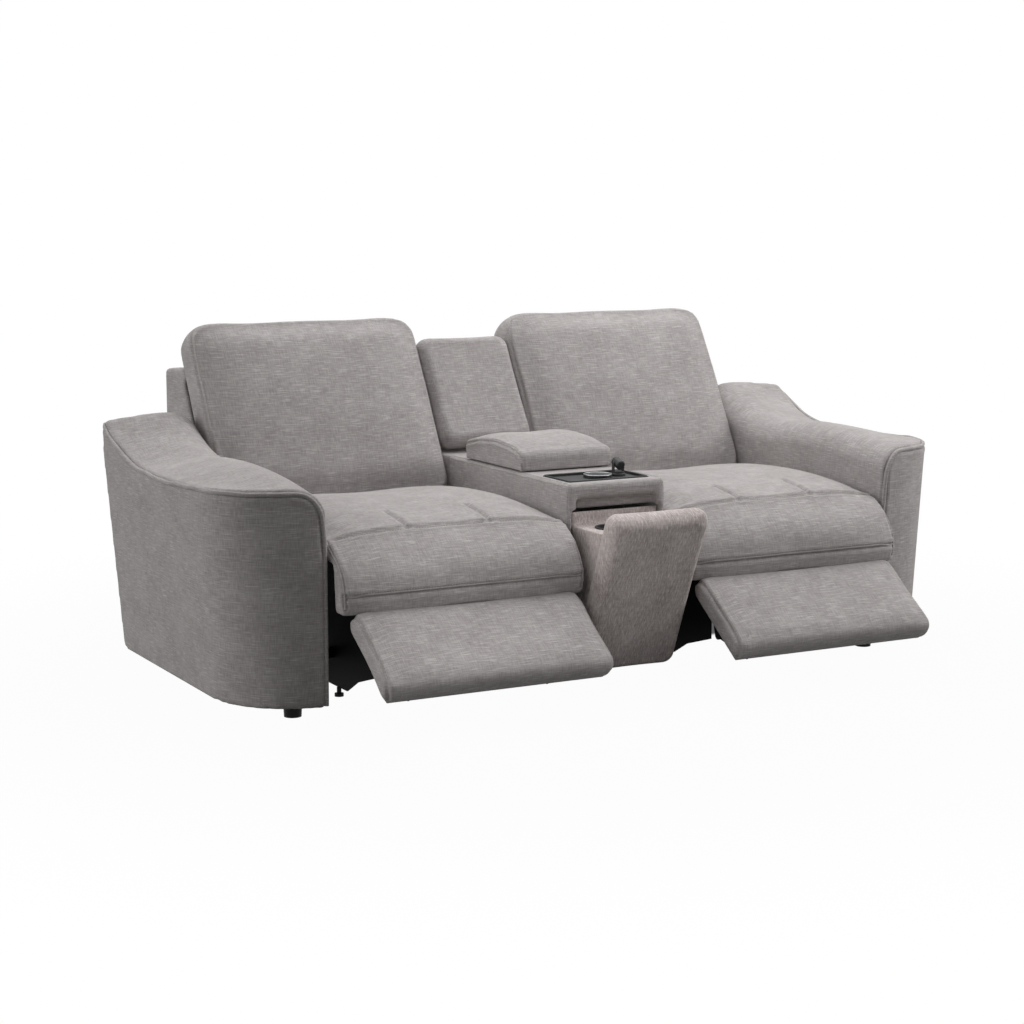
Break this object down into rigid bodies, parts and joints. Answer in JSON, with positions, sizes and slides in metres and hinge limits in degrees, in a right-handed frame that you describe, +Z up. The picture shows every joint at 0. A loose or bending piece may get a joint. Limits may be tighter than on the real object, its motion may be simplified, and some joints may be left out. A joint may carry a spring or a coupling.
{
  "type": "power reclining sofa",
  "caption": "Upholstered reclining sofa with tilting backs, swinging footrests, a centre console with hinged lid, tilt-out bin, charging tray and lamp, and dipped flared arms.",
  "frame": {"origin": "centre of the bounding box at floor level", "axes": "+X along the sofa to the right as seen from the front, +Y to the rear, +Z up"},
  "size_m": [2.2182, 1.4186, 0.9249],
  "materials": {
    "upholstery_fabric": "woven grey chenille, matt",
    "bin_fabric": "woven warm grey chenille, matt",
    "frame_timber": "sawn, unfinished",
    "elastic_webbing": "black elastic webbing",
    "black_steel": "black powder coat, semi-matt",
    "zinc_steel": "zinc plated",
    "motor_plastic": "moulded, matt",
    "foot_plastic": "moulded, matt",
    "black_plastic": "fine textured, matt",
    "disc_plastic": "satin",
    "button_plastic": "satin"
  },
  "bodies": {
    "sofa": {"right_arm": "upholstery_fabric", "left_arm": "upholstery_fabric", "right_arm_frame": "frame_timber", "left_arm_frame": "frame_timber", "sofa_feet": "foot_plastic", "base_side_plates": "black_steel", "base_cross_tubes": "black_steel", "base_glides": "foot_plastic", "left_seat_frame": "frame_timber", "right_seat_frame": "frame_timber", "left_seat_webbing": "elastic_webbing", "right_seat_webbing": "elastic_webbing", "left_seat_cushion": "upholstery_fabric", "right_seat_cushion": "upholstery_fabric", "left_motors": "motor_plastic", "right_motors": "motor_plastic", "console_body": "upholstery_fabric", "storage_box": "black_plastic", "console_back_frame": "upholstery_fabric", "console_back_cushion": "upholstery_fabric", "tray_panel": "black_plastic", "charging_disc": "disc_plastic", "lamp_base": "black_plastic", "switch_plates": "black_plastic"},
    "left_front_links_body": {"left_front_links": "black_steel"},
    "left_rear_links_body": {"left_rear_links": "black_steel"},
    "left_carrier_body": {"left_carrier_links": "zinc_steel"},
    "left_rods_body": {"left_control_rods": "black_steel"},
    "left_footrest_body": {"left_footrest_brackets": "black_steel", "left_footrest_board": "frame_timber", "left_footrest_cushion": "upholstery_fabric"},
    "left_footrest_carriage_body": {"left_footrest_carriage": "motor_plastic"},
    "left_back_body": {"left_back_frame": "frame_timber", "left_back_shell": "upholstery_fabric", "left_back_cushion": "upholstery_fabric", "left_back_brackets": "black_steel"},
    "left_back_carriage_body": {"left_back_carriage": "motor_plastic"},
    "left_open_button_body": {"left_open_button": "button_plastic"},
    "left_close_button_body": {"left_close_button": "button_plastic"},
    "right_front_links_body": {"right_front_links": "black_steel"},
    "right_rear_links_body": {"right_rear_links": "black_steel"},
    "right_carrier_body": {"right_carrier_links": "zinc_steel"},
    "right_rods_body": {"right_control_rods": "black_steel"},
    "right_footrest_body": {"right_footrest_brackets": "black_steel", "right_footrest_board": "frame_timber", "right_footrest_cushion": "upholstery_fabric"},
    "right_footrest_carriage_body": {"right_footrest_carriage": "motor_plastic"},
    "right_back_body": {"right_back_frame": "frame_timber", "right_back_shell": "upholstery_fabric", "right_back_cushion": "upholstery_fabric", "right_back_brackets": "black_steel"},
    "right_back_carriage_body": {"right_back_carriage": "motor_plastic"},
    "right_open_button_body": {"right_open_button": "button_plastic"},
    "right_close_button_body": {"right_close_button": "button_plastic"},
    "lid_body": {"console_lid": "upholstery_fabric"},
    "bin_body": {"bin_front": "bin_fabric", "bin_box": "bin_fabric", "cup_holders": "black_plastic"},
    "lamp_neck_body": {"lamp_neck": "black_plastic"},
    "lamp_head_body": {"lamp_head": "black_plastic"}
  },
  "joints": [
    {"name": "left_footrest", "type": "hinge", "parent": "sofa", "child": "left_front_links_body", "pos_m": [-0.495, -0.37174, 0.325], "axis": [-1, 0, 0], "range_deg": [-54, 31]},
    {"name": "left_rear_link_turn", "type": "hinge", "parent": "sofa", "child": "left_rear_links_body", "pos_m": [-0.495, -0.28174, 0.325], "axis": [-1, 0, 0], "range_deg": [-54, 31]},
    {"name": "left_carrier_turn", "type": "hinge", "parent": "left_front_links_body", "child": "left_carrier_body", "pos_m": [-0.495, -0.41657, 0.15998], "axis": [-1, 0, 0], "range_deg": [-31, 54]},
    {"name": "left_footrest_tilt", "type": "hinge", "parent": "left_carrier_body", "child": "left_footrest_body", "pos_m": [-0.495, -0.54658, 0.13298], "axis": [-1, 0, 0], "range_deg": [-54, 31]},
    {"name": "left_rod_turn", "type": "hinge", "parent": "left_front_links_body", "child": "left_rods_body", "pos_m": [-0.495, -0.42968, 0.11173], "axis": [-1, 0, 0], "range_deg": [-31, 54]},
    {"name": "left_footrest_carriage_slide", "type": "slide", "parent": "sofa", "child": "left_footrest_carriage_body", "axis": [0, -1, 0], "range_m": [-0.09004, 0.0519]},
    {"name": "left_recline", "type": "hinge", "parent": "sofa", "child": "left_back_body", "pos_m": [-0.495, 0.25826, 0.335], "axis": [-1, 0, 0], "range_deg": [0, 30]},
    {"name": "left_back_carriage_slide", "type": "slide", "parent": "sofa", "child": "left_back_carriage_body", "axis": [0, -1, 0], "range_m": [-0.0005, 0.04799]},
    {"name": "left_open_press", "type": "slide", "parent": "sofa", "child": "left_open_button_body", "axis": [-1, 0, 0], "range_m": [0, 0.0018], "stiffness_N_per_m": 250},
    {"name": "left_close_press", "type": "slide", "parent": "sofa", "child": "left_close_button_body", "axis": [-1, 0, 0], "range_m": [0, 0.0018], "stiffness_N_per_m": 250},
    {"name": "right_footrest", "type": "hinge", "parent": "sofa", "child": "right_front_links_body", "pos_m": [0.495, -0.37174, 0.325], "axis": [-1, 0, 0], "range_deg": [-54, 31]},
    {"name": "right_rear_link_turn", "type": "hinge", "parent": "sofa", "child": "right_rear_links_body", "pos_m": [0.495, -0.28174, 0.325], "axis": [-1, 0, 0], "range_deg": [-54, 31]},
    {"name": "right_carrier_turn", "type": "hinge", "parent": "right_front_links_body", "child": "right_carrier_body", "pos_m": [0.495, -0.41657, 0.15998], "axis": [-1, 0, 0], "range_deg": [-31, 54]},
    {"name": "right_footrest_tilt", "type": "hinge", "parent": "right_carrier_body", "child": "right_footrest_body", "pos_m": [0.495, -0.54658, 0.13298], "axis": [-1, 0, 0], "range_deg": [-54, 31]},
    {"name": "right_rod_turn", "type": "hinge", "parent": "right_front_links_body", "child": "right_rods_body", "pos_m": [0.495, -0.42968, 0.11173], "axis": [-1, 0, 0], "range_deg": [-31, 54]},
    {"name": "right_footrest_carriage_slide", "type": "slide", "parent": "sofa", "child": "right_footrest_carriage_body", "axis": [0, -1, 0], "range_m": [-0.09004, 0.0519]},
    {"name": "right_recline", "type": "hinge", "parent": "sofa", "child": "right_back_body", "pos_m": [0.495, 0.25826, 0.335], "axis": [-1, 0, 0], "range_deg": [0, 30]},
    {"name": "right_back_carriage_slide", "type": "slide", "parent": "sofa", "child": "right_back_carriage_body", "axis": [0, -1, 0], "range_m": [-0.0005, 0.04799]},
    {"name": "right_open_press", "type": "slide", "parent": "sofa", "child": "right_open_button_body", "axis": [-1, 0, 0], "range_m": [0, 0.0018], "stiffness_N_per_m": 250},
    {"name": "right_close_press", "type": "slide", "parent": "sofa", "child": "right_close_button_body", "axis": [-1, 0, 0], "range_m": [0, 0.0018], "stiffness_N_per_m": 250},
    {"name": "lid_turn", "type": "hinge", "parent": "sofa", "child": "lid_body", "pos_m": [0, 0.20326, 0.554], "axis": [-1, 0, 0], "range_deg": [0, 95]},
    {"name": "bin_tilt", "type": "hinge", "parent": "sofa", "child": "bin_body", "pos_m": [0, -0.38074, 0.084], "axis": [1, 0, 0], "range_deg": [-23, 0]},
    {"name": "lamp_turn", "type": "hinge", "parent": "sofa", "child": "lamp_neck_body", "pos_m": [0.076, -0.27674, 0.5483], "axis": [0, 0, 1], "range_deg": [-90, 90]},
    {"name": "lamp_tilt", "type": "hinge", "parent": "lamp_neck_body", "child": "lamp_head_body", "pos_m": [0.076, -0.27674, 0.57392], "axis": [1, 0, 0], "range_deg": [-20, 40]}
  ],
  "couplings": [
    {"joint": "left_rear_link_turn", "follows": "left_footrest", "ratio": 1},
    {"joint": "left_carrier_turn", "follows": "left_footrest", "ratio": -1},
    {"joint": "left_footrest_tilt", "follows": "left_footrest", "ratio": 1},
    {"joint": "left_rod_turn", "follows": "left_footrest", "ratio": -1},
    {"joint": "left_footrest_carriage_slide", "follows": "left_footrest", "m_per_rad": 0.095},
    {"joint": "left_back_carriage_slide", "follows": "left_recline", "m_per_rad": 0.0907},
    {"joint": "right_rear_link_turn", "follows": "right_footrest", "ratio": 1},
    {"joint": "right_carrier_turn", "follows": "right_footrest", "ratio": -1},
    {"joint": "right_footrest_tilt", "follows": "right_footrest", "ratio": 1},
    {"joint": "right_rod_turn", "follows": "right_footrest", "ratio": -1},
    {"joint": "right_footrest_carriage_slide", "follows": "right_footrest", "m_per_rad": 0.095},
    {"joint": "right_back_carriage_slide", "follows": "right_recline", "m_per_rad": 0.0907}
  ]
}
